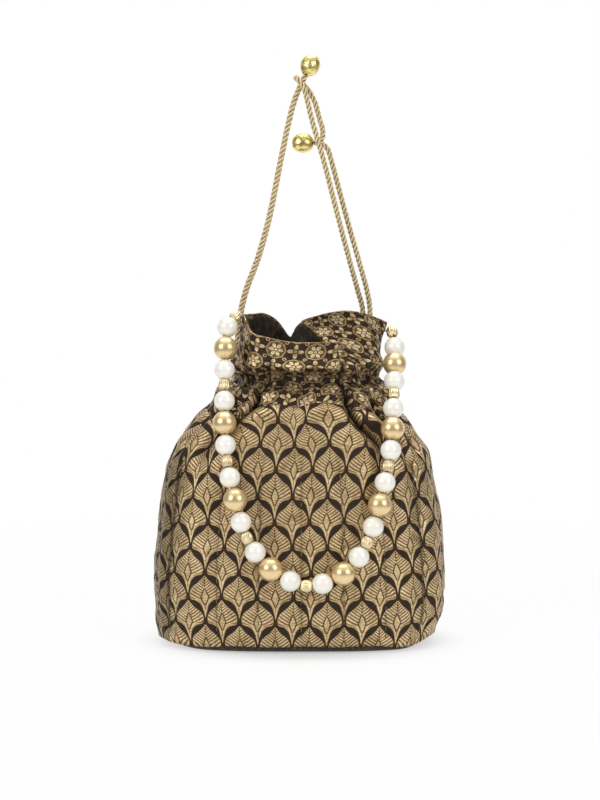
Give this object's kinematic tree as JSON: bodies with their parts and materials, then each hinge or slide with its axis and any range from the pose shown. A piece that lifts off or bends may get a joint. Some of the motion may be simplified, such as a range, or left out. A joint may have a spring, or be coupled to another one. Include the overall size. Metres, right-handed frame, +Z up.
{
  "type": "potli bag",
  "caption": "Gathered brocade pouch on a stiff oval base, with a ruffled top, twisted drawstrings ending in gold beads and a swinging carry handle of pearls and gold beads.",
  "frame": {"origin": "centre of the flat base, on the surface it stands on", "axes": "+Z up, the front with the hanging handle faces -Y, +X to the viewer's right"},
  "size_m": [0.199, 0.1375, 0.4025],
  "materials": {
    "leaf_brocade": "woven brocade, dull gold leaves on a plum black ground",
    "floral_brocade": "woven brocade, gold flowers on a plum black ground",
    "black_cloth": "plain satin weave",
    "card": "grey-brown pulp card",
    "rope": "twisted beige and gold cord",
    "hammered_gold": "polished, hammered",
    "satin_gold": "pearl gold plating",
    "ridged_gold": "bright gold plating",
    "pearl": "imitation pearl",
    "thread": "dark waxed beading thread"
  },
  "bodies": {
    "bag": {"front_panel": "leaf_brocade", "back_panel": "leaf_brocade", "top_band": "floral_brocade", "base_panel": "black_cloth", "lining": "black_cloth", "lining_base": "black_cloth", "base_board": "card", "left_drawstring": "rope", "right_drawstring": "rope", "top_end_bead": "hammered_gold", "lower_end_bead": "hammered_gold"},
    "handle": {"handle_string": "thread", "pearl_01": "pearl", "pearl_02": "pearl", "pearl_03": "pearl", "pearl_04": "pearl", "pearl_05": "pearl", "pearl_06": "pearl", "pearl_07": "pearl", "pearl_08": "pearl", "pearl_09": "pearl", "pearl_10": "pearl", "pearl_11": "pearl", "pearl_12": "pearl", "pearl_13": "pearl", "pearl_14": "pearl", "pearl_15": "pearl", "pearl_16": "pearl", "gold_bead_01": "satin_gold", "gold_bead_02": "satin_gold", "gold_bead_03": "satin_gold", "gold_bead_04": "satin_gold", "gold_bead_05": "satin_gold", "gold_bead_06": "satin_gold", "gold_bead_07": "satin_gold", "gold_bead_08": "satin_gold", "spacer_01": "ridged_gold", "spacer_02": "ridged_gold", "spacer_03": "ridged_gold", "spacer_04": "ridged_gold", "spacer_05": "ridged_gold", "spacer_06": "ridged_gold", "spacer_07": "ridged_gold", "spacer_08": "ridged_gold", "spacer_09": "ridged_gold"}
  },
  "joints": [
    {"name": "handle_swing", "type": "hinge", "parent": "bag", "child": "handle", "pos_m": [-0.0388, -0.0165, 0.2232], "axis": [-0.9753, -0.1969, 0.1], "range_deg": [0, 150]}
  ]
}
